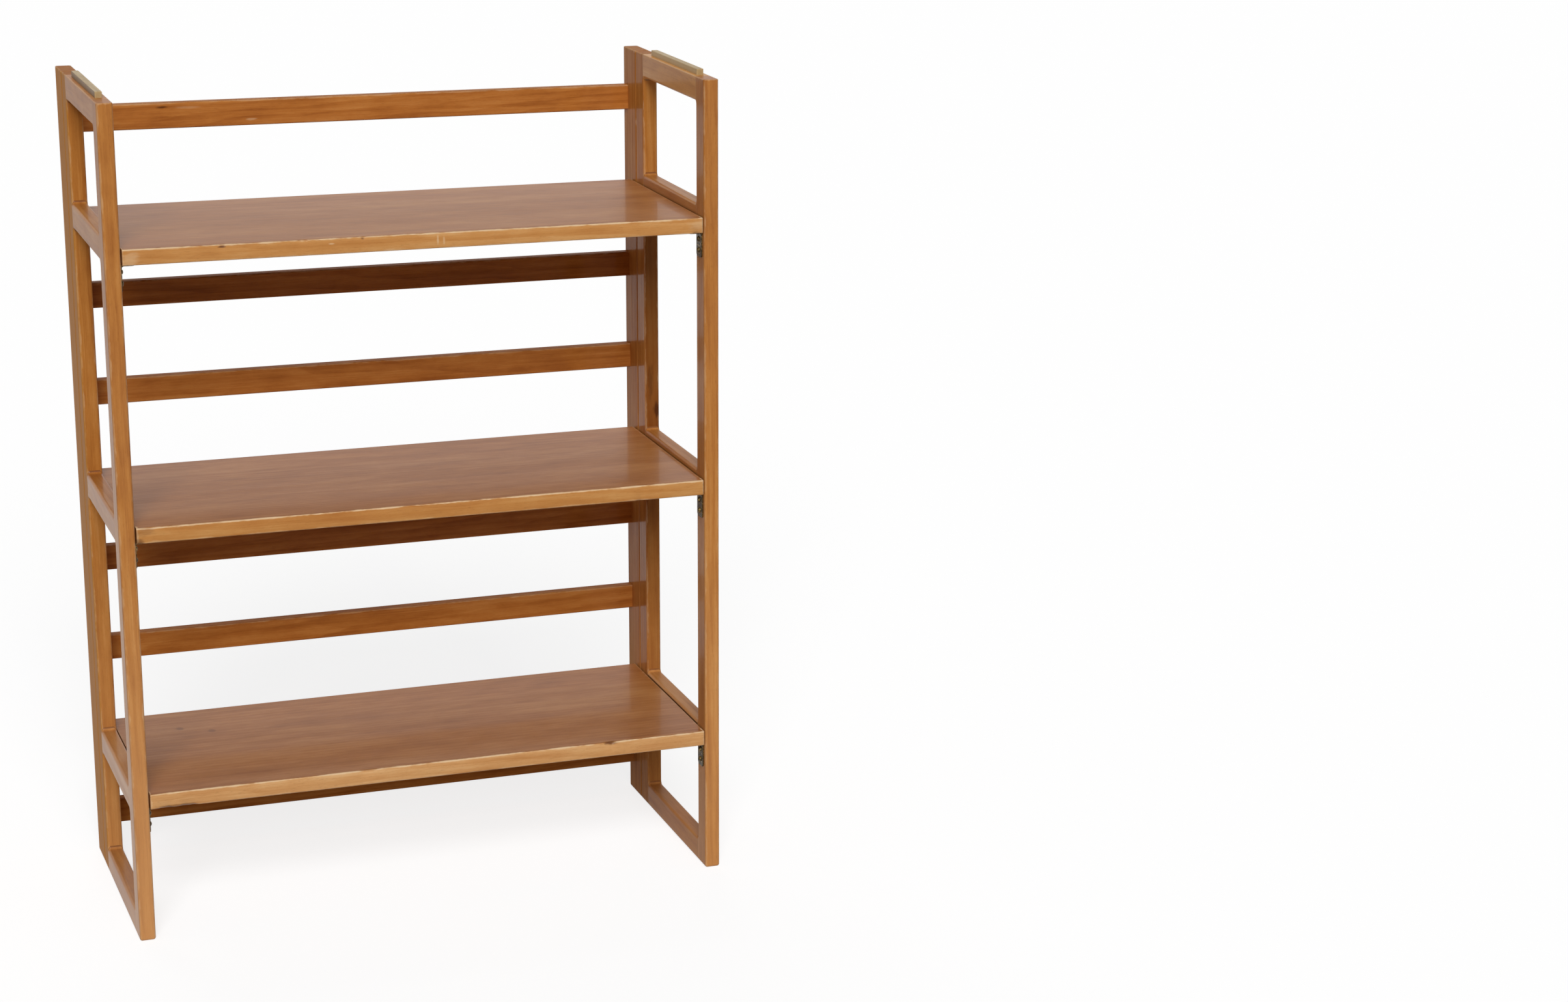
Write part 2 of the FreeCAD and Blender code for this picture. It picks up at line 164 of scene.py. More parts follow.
# The same for the left sides of the two rear sticks on the right, which face inwards.
INNER_GLOSS = {
    "right_rear_stile": (0.03, 0.30, 0.17),
    "right_back_stile": (0.02, 0.17, 0.14),
}
COAT_ROUGHNESS = 0.11
COAT_IOR = 1.5
COAT_HANDLED = 0.8              # how much handling changes the weight
COAT_BANDED = 5.0               # and the bands, for each unit of figure
HANDLING_SIZE = 35 * MM
PLAIN_SPECULAR = 0.12           # of the stained wood under the coat
REAR_SPECULAR = 0.01            # of the rear and back stiles and the slats, where it has stayed dry
WOOD_ROUGHNESS = {"plain": 0.45, "streaks": 0.12, "handling": 0.10, "worn_and_highlit": 0.2}

# ---------------------------------------------------------------- marks of use
# Spots on single pieces: place and half size in mm, colour, and how strongly it shows.
MARKS = {
    "back_slat_6_top": [
        ((-231, 138, 910), (8, 20, 1.7), KNOT, 0.80),
        ((-208, 138, 909), (17, 20, 1.8), WORN, 0.18),
        ((-130, 138, 892), (7, 20, 1.3), WORN, 0.35),
    ],
    "right_rear_stile": [
        ((338, 76, 556), (3.5, 4, 26), KNOT, 0.45),
        ((346, 76, 521), (6, 4, 9), KNOT, 0.85),
    ],
    "right_back_stile": [((331, 106, 874), (4, 3, 5), WORN, 0.60)],
    "top_shelf_lipping": [
        # Painted shade inside the nick of the top shelf's edge.
        ((-222, -155, 798.5), (5, 4, 1.3), DARK_MARK, 0.95),
        ((-134, -156, 800), (5, 4, 1.3), WORN, 0.80),
        ((-102, -156, 795), (4, 4, 1.2), WORN, 0.60),
        ((-67, -156, 799), (2.5, 4, 1.2), DARK_MARK, 0.70),
        ((18, -156, 793), (1.2, 4, 6), WORN, 0.50),
        ((25, -156, 792), (1.0, 4, 5), WORN, 0.40),
        ((-322, -156, 789), (9, 6, 9), WORN, 0.35),
        ((323, -156, 793), (12, 6, 8), WORN, 0.30),
    ],
    "middle_shelf_lipping": [
        ((-320, -156, 484), (11, 5, 4), DARK_MARK, 0.35),
        ((-327, -156, 473), (5, 6, 3), DARK_MARK, 0.50),
    ],
    "bottom_shelf_lipping": [
        ((210, -154, 174.6), (10, 4, 2.6), DARK_MARK, 0.95),
        ((-78, -156, 176), (13, 5, 1.2), DARK_MARK, 0.45),
        ((-300, -154, 159.5), (24, 4, 2.4), DARK_MARK, 0.60),
    ],
    "bottom_shelf_panel": [
        ((-259, 62, 176), (5, 6, 5), DARK_MARK, 0.55),
        ((-224, 43, 176), (4, 5, 5), DARK_MARK, 0.50),
    ],
}
# Nicks in the front edges of the shelves: middle, length and depth in mm.
NICKS = {
    "top": {"upper": [(-222, 8, 1.3), (-134, 12, 0.8), (-67, 6, 0.7)], "lower": [(323, 14, 0.9)]},
    "middle": {"upper": [(-318, 20, 0.7)], "lower": [(-326, 12, 1.0), (250, 8, 0.6)]},
    "bottom": {"upper": [(210, 20, 1.5), (-78, 26, 0.7)], "lower": [(-314, 22, 1.6), (-288, 26, 2.0)]},
}
NICK_SLOPE = 2.0                # a nick has its full depth over the middle half of its length
NICK_DEPTH = 0.75               # of the depth written, where the quick wander is at its middle
NICK_UNEVEN = 0.5
LIPPING_ARRIS = 2.2 * MM
ARRIS_SEGMENTS = 4
ARRIS_PLAIN = 0.80              # of the arris, and how much two wanders change it
ARRIS_SLOW = 0.22
ARRIS_QUICK = 0.12
SLOW_WANDER = 40 * MM
QUICK_WANDER = 6 * MM
# Where the noise is read for the slow and for the quick wander of each shelf's edges.
WANDERS = {
    "top": ((3.0, 35.0), (9.0, 5.0)),
    "middle": ((6.0, 35.0), (18.0, 5.0)),
    "bottom": ((6.0, 35.0), (18.0, 5.0)),
}
LIPPING_STEP = 2.0 * MM         # length of its mesh along the shelf
TOUCHING = 0.001 * MM
END_FACE = 0.5                  # a face turned further than this along the shelf is an end

# ---------------------------------------------------------------- metal
# Colours of the skin and of the rubbed metal, noise at which rubbed metal starts and is bare, roughness, and
# whether the skin is a dull patina.
METALS = {
    "bracket_brass": ((62, 47, 22), (166, 138, 82), (0.496, 0.682), 0.36, True),
    "screw_brass": ((66, 51, 26), (172, 146, 90), (0.464, 0.658), 0.32, True),
    "hinge_brass": ((150, 124, 72), (196, 168, 106), (0.40, 0.61), 0.32, False),
    "steel": ((150, 150, 152), (188, 188, 190), (0.40, 0.61), 0.28, False),
}
PATINA_SPECULAR = 0.2
CLOUDS_PER_METRE = 400.0
GRAINS_PER_METRE = 2500.0
GRIT_IN_CLOUD = 0.3             # how much grit breaks up the edge of the bare metal
GRIT_ROUGHNESS = 0.2
BARE_SMOOTHER = 0.12
GRIT_STRENGTH = 0.3
GRIT_DEPTH = 0.05 * MM

# ---------------------------------------------------------------- light and camera
CAMERA_PLACE = (-0.84455, -3.69805, 1.47207)
CAMERA_TURN = (74.091, -0.8524, -21.8794)      # degrees about X, Y and Z
CAMERA_LENS = 75.057
CAMERA_SHIFT = (-0.0814, 0.0293)
SENSOR_WIDTH = 36.0

KEY_TURN = (57.0, 0.0, -12.0)
KEY_SPREAD = 30.0
KEY_STRENGTH = 2.4
BACK_TURN = (-72.0, 0.0, 0.0)
BACK_SPREAD = 50.0
BACK_STRENGTH = 0.8
FILL_LEVEL = 0.13
FLOOR_SIDE = 60.0
FLOOR_LEVEL = 0.60
FLOOR_SEEN_LEVEL = 1.55         # to the camera
FLOOR_BRIGHT_SHARE = 0.76       # of what the camera sees of the floor, the rest is its lit surface


def linear(colour):
    """The linear colour, with alpha, of an sRGB colour from 0 to 255."""
    channels = []
    for channel in colour:
        share = channel / 255
        if share <= 0.04045:
            channels.append(share / 12.92)
        else:
            channels.append(((share + 0.055) / 1.055) ** 2.4)
    return (*channels, 1.0)


def grey(level):
    """A linear grey, with alpha."""
    return (level, level, level, 1.0)


# ---------------------------------------------------------------- writing finishes
class Value:
    """One output inside a finish. Sums, differences, products and quotients of values add Math nodes."""

    def __init__(self, finish, socket):
        self.finish = finish
        self.socket = socket

    def __add__(self, other):
        return maths("ADD", self, other)

    def __radd__(self, other):
        return maths("ADD", other, self)

    def __sub__(self, other):
        return maths("SUBTRACT", self, other)

    def __rsub__(self, other):
        return maths("SUBTRACT", other, self)

    def __mul__(self, other):
        return maths("MULTIPLY", self, other)

    def __rmul__(self, other):
        return maths("MULTIPLY", other, self)

    def __truediv__(self, other):
        return maths("DIVIDE", self, other)


def maths(operation, *terms):
    """A Math node on terms that are values or plain numbers."""
    finish = next(term.finish for term in terms if isinstance(term, Value))
    return finish.add("ShaderNodeMath", {"operation": operation}, dict(enumerate(terms)))


def smallest(first, second):
    """The smaller of two values."""
    return maths("MINIMUM", first, second)


def largest(first, second):
    """The larger of two values."""
    return maths("MAXIMUM", first, second)


def off_line(value, line):
    """How far a value is from a number."""
    return maths("ABSOLUTE", value - line)


def fade(value, span):
    """0 where value is at the first end of the span, 1 where it is at the second, smooth in between."""
    start, end = span
    settings = {"interpolation_type": "SMOOTHSTEP"}
    inputs = {"Value": value, "From Min": start, "From Max": end, "To Min": 0.0, "To Max": 1.0}
    if start > end:
        inputs.update({"From Min": end, "From Max": start, "To Min": 1.0, "To Max": 0.0})
    return value.finish.add("ShaderNodeMapRange", settings, inputs)


# Sockets of a Mix node that mixes colours.
MIX_SHARE, MIX_FIRST, MIX_SECOND, MIX_RESULT = 0, 6, 7, 2
NOISE_MIDDLE = 0.5


class Finish:
    """The nodes of a material or of the world, written one by one."""

    def __init__(self, owner):
        owner.use_nodes = True
        self.owner = owner
        self.tree = owner.node_tree
        self.tree.nodes.clear()

    def add(self, kind, settings=None, inputs=None, output=0):
        """Adds a node, first its settings, then its sockets, and returns one of its outputs."""
        node = self.tree.nodes.new(kind)
        for key, setting in (settings or {}).items():
            if key == "stops":
                self.set_stops(node.color_ramp, setting)
            else:
                setattr(node, key, setting)
        for key, value in (inputs or {}).items():
            if isinstance(value, Value):
                self.tree.links.new(value.socket, node.inputs[key])
            else:
                node.inputs[key].default_value = value
        if not len(node.outputs):
            return None
        return Value(self, node.outputs[output])

    @staticmethod
    def set_stops(ramp, stops):
        """Sets the places and colours of a ramp."""
        while len(ramp.elements) < len(stops):
            ramp.elements.new(1.0)
        for element, (place, colour) in zip(ramp.elements, stops):
            element.position = place
            element.color = colour

    def outputs_of(self, value):
        """All the outputs of the node that a value comes from."""
        return [Value(self, output) for output in value.socket.node.outputs]

    def mix(self, share, first, second):
        """Two colours mixed; share is how much of the second."""
        settings = {"data_type": "RGBA", "blend_type": "MIX", "clamp_factor": True}
        inputs = {MIX_SHARE: share, MIX_FIRST: first, MIX_SECOND: second}
        return self.add("ShaderNodeMix", settings, inputs, output=MIX_RESULT)

    def mix_shaders(self, share, first, second):
        """Two shaders mixed; share is how much of the second."""
        return self.add("ShaderNodeMixShader", inputs={0: share, 1: first, 2: second})

    def vector(self, x, y, z):
        """A vector of three values or numbers."""
        return self.add("ShaderNodeCombineXYZ", inputs={"X": x, "Y": y, "Z": z})

    def parts_of(self, vector):
        """The three parts of a vector."""
        return self.outputs_of(self.add("ShaderNodeSeparateXYZ", inputs={"Vector": vector}))

    def length_of(self, vector):
        """The length of a vector."""
        return self.add("ShaderNodeVectorMath", {"operation": "LENGTH"}, {0: vector}, output="Value")

    def position(self):
        """The place on the object."""
        return self.add("ShaderNodeTexCoord", output="Object")

    def moved(self, vector, **change):
        """A vector moved by a Location, or multiplied by a Scale."""
        return self.add("ShaderNodeMapping", {"vector_type": "POINT"}, {"Vector": vector, **change})

    def noise(self, place, detail=2.0, roughness=0.5):
        """Smooth noise from 0 to 1, one unit across a feature."""
        inputs = {"Vector": place, "Scale": 1.0, "Detail": detail, "Roughness": roughness}
        return self.add("ShaderNodeTexNoise", {"noise_dimensions": "3D"}, inputs)

    def bump(self, strength, depth, relief):
        """A normal that shows a relief."""
        return self.add("ShaderNodeBump", inputs={"Strength": strength, "Distance": depth, "Height": relief})

    def surface(self, **sockets):
        """The shader itself; constants are set on its own sockets."""
        inputs = {key.replace("_", " "): value for key, value in sockets.items()}
        shader = self.add("ShaderNodeBsdfPrincipled", inputs=inputs)
        self.add("ShaderNodeOutputMaterial", inputs={"Surface": shader})
        return self.owner


def dress(node, material):
    """Gives a node of the frame its finish."""
    for material_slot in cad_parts[node].material_slots:
        material_slot.link = "OBJECT"
        material_slot.material = material


# ---------------------------------------------------------------- wood
ACROSS_AND_ALONG = {"X": (1, 2, 0), "Y": (0, 2, 1), "Z": (0, 1, 2)}


class Stick(Finish):
    """The finish of one piece of solid wood, with coordinates that follow its grain."""

    def __init__(self, node, grain):
        super().__init__(bpy.data.materials.new(node + "_wood"))
        self.low, self.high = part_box(node)
        position = self.position()
        self.place = self.parts_of(position)
        self.facing = self.parts_of(self.add("ShaderNodeTexCoord", output="Normal"))
        shift = [draw.uniform(*CUT_FROM) for _ in range(3)]
        axes = self.parts_of(self.moved(position, Location=shift))
        order = ACROSS_AND_ALONG[grain]
        self.across, self.other, self.along = [axes[number] for number in order]
        self.centre = [(self.low[number] + self.high[number]) / 2 + shift[number] for number in order]
        self.length_axis = order[2]

    def grain_noise(self, name):
        """One of the noises in the wood, from -0.5 to 0.5."""
        wide, long, detail, roughness = GRAIN[name]
        place = self.vector(self.across / (wide * MM), self.other / (wide * MM), self.along / (long * MM))
        return self.noise(place, detail, roughness) - NOISE_MIDDLE

    def late_wood(self):
        """The dark outer part of each year's ring, 0 to 1, around a pith that lies beside the piece."""
        pith = (draw.uniform(*PITH_BESIDE), draw.uniform(*PITH_BEHIND))
        drift = (self.along - self.centre[2]) * draw.uniform(*PITH_DRIFT)
        beside = self.across - (self.centre[0] + pith[0]) + drift
        behind = self.other - (self.centre[1] + pith[1])
        radius = self.length_of(self.vector(beside, behind, 0.0))
        waver = self.grain_noise("rings") * RING_WAVER
        ring = maths("FRACT", (radius + waver) / draw.uniform(*RING_WIDTH))
        return fade(ring, LATE_WOOD_STARTS) * fade(ring, LATE_WOOD_ENDS)

    def edge_distance(self, covered):
        """How far a point is from the nearest edge that no neighbour covers: its second smallest gap."""
        gaps = []
        for axis, part, start, end in zip("xyz", self.place, self.low, self.high):
            far_start = start - FAR if "-" + axis in covered else start
            far_end = end + FAR if "+" + axis in covered else end
            gaps.append(smallest(part - far_start, far_end - part))
        nearer = smallest(gaps[0], gaps[1])
        farther = largest(gaps[0], gaps[1])
        return largest(nearer, smallest(farther, gaps[2]))

    def facing_left(self):
        """1 on the sides that face left, 0 on the others."""
        return fade(self.facing[0], FACING_LEFT)

    def stained(self, tone, stain):
        """The colour of a stain on wood that is dark or light by tone."""
        stops = [(place, linear(stain[name])) for name, place in STAIN_TONES.items()]
        return self.add("ShaderNodeValToRGB", {"stops": stops}, {0: tone})

    def marked(self, colour, marks, roughening):
        """The colour with the marks of use on it."""
        for middle, reach, tint, strength in marks:
            offset = [(part - at * MM) / (half * MM) for part, at, half in zip(self.place, middle, reach)]
            distance = self.length_of(self.vector(*offset))
            share = fade(distance + roughening * MARK_RAGGED, MARK_EDGE) * strength
            colour = self.mix(share, colour, linear(tint))
        return colour

    def coat_weight(self, gloss):
        """The weight of the coat at each height."""
        foot, body, head = gloss
        weight = body
        for changed, heights in ((foot, MOPPED), (head, RUBBED)):
            if changed != body:
                weight = weight + fade(self.place[2], heights) * (changed - body)
        return weight


def wood(node, grain, stain, gloss, covered="", figure=0.35, wear=0.3, floor_light=0.0, corner_shade=0.0,
         top_stain=None, side_stain=None, side_gloss=None, seams=(), gap_shade=None, specular=PLAIN_SPECULAR):
    """Stained wood under lacquer, its grain along one axis.

    covered names the sides that a neighbour covers, such as "-x+x", and seams the places along the grain
    where it meets one. figure is how strongly the grain shows, and wear how far the edges are rubbed
    through, which also paints a highlight along them. faded is how much painted light from the floor
    lightens its foot, and deepened how much painted shade darkens it below the top shelf. top_stain is the
    stain of its top, side_stain the colour of its side to the left, and side_gloss the gloss of that side.
    grime is the height of a line of painted shade on its inner side, in the gap beside the end of a shelf,
    and how much of it. specular is the gloss of the wood under the coat.
    """
    stick = Stick(node, grain)
    blotches = stick.grain_noise("blotches")
    mottling = stick.grain_noise("mottling")
    bands = stick.grain_noise("bands")
    streaks = stick.grain_noise("streaks")
    fibres = stick.grain_noise("fibres")
    late = stick.late_wood()
    tone = TONE["middle"] + blotches * TONE["blotches"] + mottling * TONE["mottling"]
    tone = tone + bands * (figure * TONE["bands"]) + streaks * TONE["streaks"] + fibres * TONE["fibres"]
    tone = tone - late * (figure * TONE["late_wood"])
    colour = stick.stained(tone, stain)
    if top_stain:
        colour = stick.mix(fade(stick.facing[2], FACING_UP), colour, stick.stained(tone, top_stain))

    pores = fade(stick.grain_noise("pores"), OPEN_PORE)
    colour = stick.mix(pores * PORE_SHARE, colour, linear(PORE))
    end_grain = fade(maths("ABSOLUTE", stick.facing[stick.length_axis]), FACING_ALONG_GRAIN)
    colour = stick.mix(end_grain * END_GRAIN_SHARE, colour, linear(stain["dark"]))
    # Painted light: lighter towards the feet, where the floor throws light back up.
    if floor_light:
        foot = fade(stick.place[2], FLOOR_LIT_FEET) * (floor_light + blotches * FLOOR_LIGHT_UNEVEN)
        colour = stick.mix(foot, colour, linear(FLOOR_LIGHT))
    # Painted shade: darker in the right rear corner below the top shelf.
    if corner_shade:
        shade_eased = 1.0 - fade(stick.place[2], SHADE_EASED_CORNER) * SHADE_EASED_SHARE
        shade_here = fade(stick.place[2], PAINTED_SHADE_CORNER) * (shade_eased * corner_shade + bands * PAINTED_SHADE_UNEVEN)
        shade_here = shade_here * (1.0 - stick.facing_left() * SHADE_SPARED_INSIDE)
        colour = stick.mix(shade_here, colour, linear(PAINTED_SHADE))
    if side_stain:
        side = stick.facing_left() * (SIDE_STAIN_SHARE + bands * SIDE_STAIN_UNEVEN)
        colour = stick.mix(side, colour, linear(side_stain))
    for seam in seams:
        hairline = fade(off_line(stick.place[stick.length_axis], seam), SEAM_LINE)
        colour = stick.mix(hairline * SEAM_SHARE, colour, linear(PORE))
    # Painted shade: a dark line on the rail's inner side, in the gap beside the end of a shelf.
    if gap_shade:
        gap_shade_height, strength = gap_shade
        line = fade(off_line(stick.place[2], gap_shade_height), GAP_SHADE_LINE)
        inwards = -1.0 if stick.low.x > 0.0 else 1.0
        inner_side = fade(stick.facing[0] * inwards, FACING_INWARDS)
        colour = stick.mix(line * inner_side * strength, colour, linear(GAP_SHADE))

    rubbing = stick.grain_noise("rubbing")
    if grain != "Z":
        from_above = fade(stick.facing[2], RUBBED_FROM_ABOVE)
        wear = wear * (LYING_SIDE_WEAR + from_above * (1.0 - LYING_SIDE_WEAR))
    # Rubbed-through lacquer on the edges, and also a painted highlight along the arris.
    worn_and_highlit = fade(stick.edge_distance(covered) + rubbing * WEAR_WANDER, WORN_EDGE) * wear
    colour = stick.mix(worn_and_highlit, colour, linear(WORN))
    colour = stick.marked(colour, MARKS.get(node, ()), rubbing)

    handling = stick.noise(stick.vector(*[part / HANDLING_SIZE for part in stick.place])) - NOISE_MIDDLE
    coat = stick.coat_weight(gloss)
    if side_gloss:
        coat = coat + stick.facing_left() * (stick.coat_weight(side_gloss) - coat)
    coat = coat * (1.0 + handling * COAT_HANDLED + bands * (figure * COAT_BANDED)) * (1.0 - worn_and_highlit)
    roughness = WOOD_ROUGHNESS["plain"] + streaks * WOOD_ROUGHNESS["streaks"]
    roughness = roughness + handling * WOOD_ROUGHNESS["handling"] + worn_and_highlit * WOOD_ROUGHNESS["worn_and_highlit"]
    relief = streaks * RELIEF["streaks"] + fibres * RELIEF["fibres"] - pores * RELIEF["pores"]
    return stick.surface(
        Base_Color=colour, Roughness=roughness, Specular_IOR_Level=specular, Coat_Weight=coat,
        Coat_Roughness=COAT_ROUGHNESS, Coat_IOR=COAT_IOR,
        Normal=stick.bump(RELIEF_STRENGTH, RELIEF_DEPTH, relief))


def stain_frames():
    """The sticks of the two side frames, the stiles of the back and the stacking cleats."""
    shoulders = (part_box("left_front_stile")[1].y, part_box("left_rear_stile")[0].y)
    for side in ("left", "right"):
        floor_light = FLOOR_LIGHT_SHARE[side]
        # Painted floor light at the foot of the front stile.
        node = side + "_front_stile"
        dress(node, wood(node, "Z", FRAME_STAIN, GLOSS[side], floor_light=floor_light))
        # The rear and back stiles: painted floor light at the feet and, on the right, painted shade below
        # the top shelf.
        for node, covered in ((side + "_rear_stile", "+y"), (side + "_back_stile", "-y")):
            dress(node, wood(
                node, "Z", FRAME_STAIN, GLOSS[side + "_rear"], covered=covered,
                floor_light=floor_light * FLOOR_LIGHT_REAR, corner_shade=PAINTED_SHADE_SHARE[side],
                side_stain=REAR_SIDE_STAINS[side], side_gloss=INNER_GLOSS.get(node),
                specular=REAR_SPECULAR))
        for level in ("floor", "bottom_shelf", "middle_shelf", "top_shelf", "top"):
            node = side + "_" + level + "_rail"
            # The right top rail takes the lighter stain of painted light.
            stain = LIT_RAIL_STAIN if node == "right_top_rail" else FRAME_STAIN
            # Painted shade in the gap beside the end of the shelf at this level.
            gap_shade = None
            if level in GAP_SHADE_STRENGTH:
                gap_shade = (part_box(level + "_panel")[1].z - GAP_SHADE_BELOW, GAP_SHADE_STRENGTH[level])
            dress(node, wood(
                node, "Y", stain, GLOSS[side], covered="-y+y", floor_light=floor_light * FLOOR_LIGHT_RAIL,
                seams=shoulders, gap_shade=gap_shade))
        node = side + "_stacking_cleat"
        dress(node, wood(
            node, "Y", BARE_WOOD, GLOSS["cleat"], covered="-z", wear=0.2,
            side_stain=CLEAT_SIDE_STAINS[side]))


def stain_back():
    """The slats of the back; the one under the top shelf gets a darker stain, painted shade under the shelf.
    """
    for node in sorted(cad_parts):
        if node.startswith("back_slat"):
            stain = SHADED_SLAT_STAIN if node.endswith("below_top_shelf") else SLAT_STAIN
            dress(node, wood(
                node, "X", stain, GLOSS["back"], covered="-x+x", figure=0.36, specular=REAR_SPECULAR))


def stain_shelves():
    """The panels of the shelves and their worn front edges."""
    for level in ("bottom", "middle", "top"):
        panel = level + "_shelf_panel"
        dress(panel, wood(panel, "X", PANEL_STAIN, GLOSS["panel"], covered="-y", figure=0.22, wear=0.15))
        lipping = worn_lipping(level)
        # The shelf's front edge: worn, with a strong painted highlight along its arris.
        lipping.data.materials.append(wood(
            level + "_shelf_lipping", "X", LIPPING_STAINS[level], GLOSS["lipping"], covered="+y", wear=1.0,
            top_stain=PANEL_STAIN))


# ---------------------------------------------------------------- worn front edges of the shelves
def arris_size(level, edge, x):
    """How far the edge is rubbed down at x, and how much it is broken flat there, 0 to 1."""
    slow_place, quick_place = WANDERS[level]
    slow = noise.noise(Vector((x / SLOW_WANDER, *slow_place)))
    quick = noise.noise(Vector((x / QUICK_WANDER, *quick_place)))
    size = LIPPING_ARRIS * (ARRIS_PLAIN + ARRIS_SLOW * slow + ARRIS_QUICK * quick)
    flat = 0.0
    for middle, length, depth in NICKS[level][edge]:
        away = abs(x - middle * MM) / (length * MM / 2)
        if away < 1.0:
            bite = min(1.0, NICK_SLOPE * (1.0 - away)) * (NICK_DEPTH + NICK_UNEVEN * quick)
            size += depth * MM * bite
            flat = max(flat, bite)
    return size, min(1.0, flat)


def worn_lipping(level):
    """The front strip of a shelf, its two front edges rounded, rubbed and nicked."""
    node = level + "_shelf_lipping"
    low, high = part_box(node)
    size = high - low
    strip = bmesh.new()
    bmesh.ops.create_cube(
        strip, size=1.0, matrix=Matrix.Translation((low + high) / 2) @ Matrix.Diagonal((*size, 1.0)))
    long_edges = [edge for edge in strip.edges if edge.calc_length() > size.x / 2]
    front_edges = [edge for edge in long_edges if edge.verts[0].co.y < low.y + size.y / 2]
    bmesh.ops.bevel(strip, geom=front_edges, affect="EDGES", offset=LIPPING_ARRIS,
                    segments=ARRIS_SEGMENTS, profile=0.5, material=-1)
    long_edges = [edge for edge in strip.edges if edge.calc_length() > size.x / 2]
    bmesh.ops.subdivide_edges(strip, edges=long_edges, cuts=round(size.x / LIPPING_STEP), use_grid_fill=True)

    rounded = set()
    for vertex in strip.verts:
        for edge, corner, way in (("upper", high.z, 1.0), ("lower", low.z, -1.0)):
            back = low.y + LIPPING_ARRIS - vertex.co.y
            out = (vertex.co.z - corner) * way + LIPPING_ARRIS
            if back < -TOUCHING or out < -TOUCHING:
                continue
            turn = math.atan2(out, back)
            arris, flat = arris_size(level, edge, vertex.co.x)
            across = (1.0 - math.cos(turn)) * (1.0 - flat) + turn / (math.pi / 2) * flat
            along = (1.0 - math.sin(turn)) * (1.0 - flat) + (1.0 - turn / (math.pi / 2)) * flat
            vertex.co.y = low.y + arris * across
            vertex.co.z = corner - way * arris * along
            rounded.add(vertex)
    for face in strip.faces:
        face.smooth = abs(face.normal.x) < END_FACE and all(vertex in rounded for vertex in face.verts)
    bmesh.ops.recalc_face_normals(strip, faces=strip.faces)
    mesh = bpy.data.meshes.new(level + "_lipping_worn")
    strip.to_mesh(mesh)
    strip.free()
    lipping = bpy.data.objects.new(level + "_lipping_worn", mesh)
    bpy.context.scene.collection.objects.link(lipping)
    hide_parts(node)
    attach(lipping, level + "_shelf")
    return lipping


# ---------------------------------------------------------------- metal
def aged_metal(name, skin, rubbed, bare_noise, roughness, patinated):
    """Metal with a skin that is rubbed off in clouds. A patina is no metal where it covers."""
    finish = Finish(bpy.data.materials.new(name))
    position = finish.position()
    cloud = finish.noise(finish.moved(position, Scale=(CLOUDS_PER_METRE,) * 3), detail=4.0, roughness=0.6)
    grit = finish.noise(finish.moved(position, Scale=(GRAINS_PER_METRE,) * 3))
    coarse = grit - NOISE_MIDDLE
    bare = fade(cloud + coarse * GRIT_IN_CLOUD, bare_noise)
    return finish.surface(
        Base_Color=finish.mix(bare, linear(skin), linear(rubbed)),
        Metallic=bare if patinated else 1.0,
        Roughness=roughness + coarse * GRIT_ROUGHNESS - bare * BARE_SMOOTHER,
        Specular_IOR_Level=PATINA_SPECULAR,
        Normal=finish.bump(GRIT_STRENGTH, GRIT_DEPTH, grit))


def finish_metal():
    """The brackets, hinges, screws and pins."""
    metals = {name: aged_metal(name, *looks) for name, looks in METALS.items()}
    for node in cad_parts:
        if node.endswith("_bracket"):
            dress(node, metals["bracket_brass"])
        elif node.endswith("_leaf"):
            dress(node, metals["hinge_brass"])
    dress("bracket_screws", metals["screw_brass"])
    for node in ("shelf_pivot_pins", "hinge_pins", "hinge_screws"):
        dress(node, metals["steel"])


# ---------------------------------------------------------------- studio
def seen_by_eye_or_mirror(finish):
    """1 on camera, glossy and transmission rays, 0 on the others."""
    node = finish.add("ShaderNodeLightPath").socket.node
    eye, mirror, glass = [
        Value(finish, node.outputs[name])
        for name in ("Is Camera Ray", "Is Glossy Ray", "Is Transmission Ray")]
    return largest(largest(eye, mirror), glass)


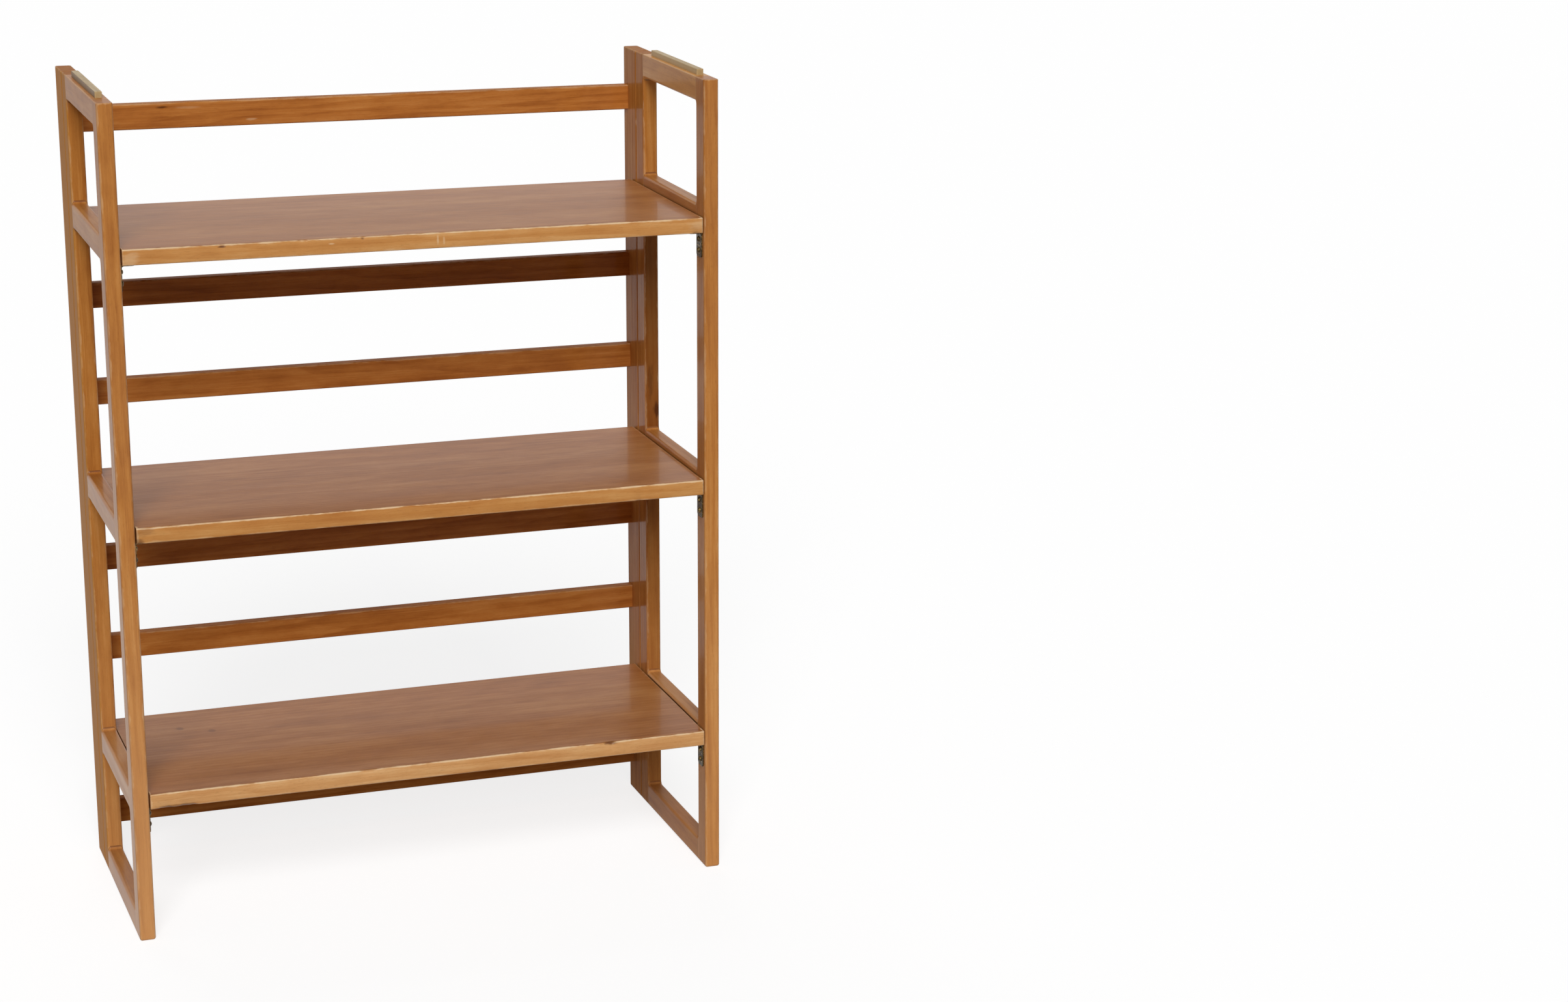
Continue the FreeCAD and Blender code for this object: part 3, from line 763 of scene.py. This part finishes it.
def make_world():
    """A white room, which lights the object only a little."""
    world = bpy.data.worlds.new("white_room")
    bpy.context.scene.world = world
    room = Finish(world)
    fill = room.add("ShaderNodeBackground", inputs={"Color": grey(FILL_LEVEL)})
    white = room.add("ShaderNodeBackground", inputs={"Color": grey(1.0)})
    either = room.mix_shaders(seen_by_eye_or_mirror(room), fill, white)
    room.add("ShaderNodeOutputWorld", inputs={"Surface": either})


def make_floor():
    """A plain pale floor, which shows the object's shadow."""
    bpy.ops.mesh.primitive_plane_add(size=FLOOR_SIDE, location=(0.0, 0.0, 0.0))
    floor = bpy.context.object
    floor.name = "studio_floor"
    paint = Finish(bpy.data.materials.new("pale_floor"))
    lit = paint.add("ShaderNodeBsdfDiffuse", inputs={"Color": grey(FLOOR_LEVEL)})
    shown = paint.add("ShaderNodeBsdfDiffuse", inputs={"Color": grey(FLOOR_SEEN_LEVEL)})
    bright = paint.add("ShaderNodeEmission", inputs={"Color": grey(1.0)})
    seen = paint.mix_shaders(FLOOR_BRIGHT_SHARE, shown, bright)
    either = paint.mix_shaders(seen_by_eye_or_mirror(paint), lit, seen)
    paint.add("ShaderNodeOutputMaterial", inputs={"Surface": either})
    floor.data.materials.append(paint.owner)


def make_light(name, turns, spread, strength, mirrored):
    """A broad, distant lamp; turns and spread are in degrees."""
    lamp = bpy.data.lights.new(name, "SUN")
    lamp.energy = strength
    lamp.angle = math.radians(spread)
    light = bpy.data.objects.new(name, lamp)
    light.rotation_euler = [math.radians(turn) for turn in turns]
    light.visible_glossy = mirrored
    bpy.context.scene.collection.objects.link(light)


def make_camera():
    """The camera, to the left of the front and a little above."""
    lens = bpy.data.cameras.new("camera")
    lens.sensor_fit = "HORIZONTAL"
    lens.sensor_width = SENSOR_WIDTH
    lens.lens = CAMERA_LENS
    lens.shift_x, lens.shift_y = CAMERA_SHIFT
    camera = bpy.data.objects.new("camera", lens)
    camera.location = CAMERA_PLACE
    camera.rotation_euler = [math.radians(turn) for turn in CAMERA_TURN]
    bpy.context.scene.collection.objects.link(camera)
    bpy.context.scene.camera = camera


stain_frames()
stain_back()
stain_shelves()
finish_metal()
make_world()
make_floor()
make_light("key", KEY_TURN, KEY_SPREAD, KEY_STRENGTH, mirrored=True)
make_light("back_light", BACK_TURN, BACK_SPREAD, BACK_STRENGTH, mirrored=False)
make_camera()
bpy.context.scene.view_settings.view_transform = "Standard"
